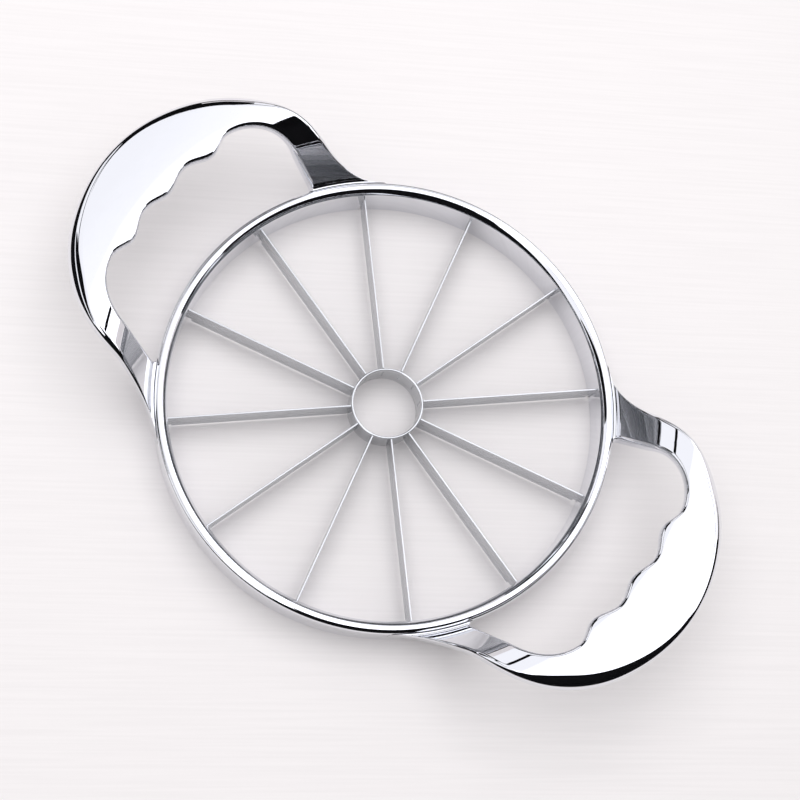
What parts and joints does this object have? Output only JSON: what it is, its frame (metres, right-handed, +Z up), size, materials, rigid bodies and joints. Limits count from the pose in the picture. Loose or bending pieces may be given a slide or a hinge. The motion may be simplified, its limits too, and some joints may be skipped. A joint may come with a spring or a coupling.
{
  "type": "watermelon slicer",
  "caption": "Hand-pressed melon slicer: a chromed ring with straight radial blades round a core tube, and raised scalloped grips on opposite sides.",
  "frame": {"origin": "centre of the ring, on the plane that the ring's lower edge stands on", "axes": "+X along the line through both grips, +Z up, square to the ring"},
  "size_m": [0.3864, 0.25, 0.0625],
  "materials": {
    "chrome": "polished chrome plate on a zinc die-casting",
    "blade_steel": "rolled stainless strip with a ground edge",
    "core_steel": "satin stainless tube",
    "strip_steel": "plain rolled strip"
  },
  "bodies": {
    "root": {"rim": "chrome", "handle_left": "chrome", "handle_right": "chrome", "core_tube": "core_steel", "lock_ring": "strip_steel", "blade_01": "blade_steel", "blade_02": "blade_steel", "blade_03": "blade_steel", "blade_04": "blade_steel", "blade_05": "blade_steel", "blade_06": "blade_steel", "blade_07": "blade_steel", "blade_08": "blade_steel", "blade_09": "blade_steel", "blade_10": "blade_steel", "blade_11": "blade_steel", "blade_12": "blade_steel"}
  },
  "joints": []
}
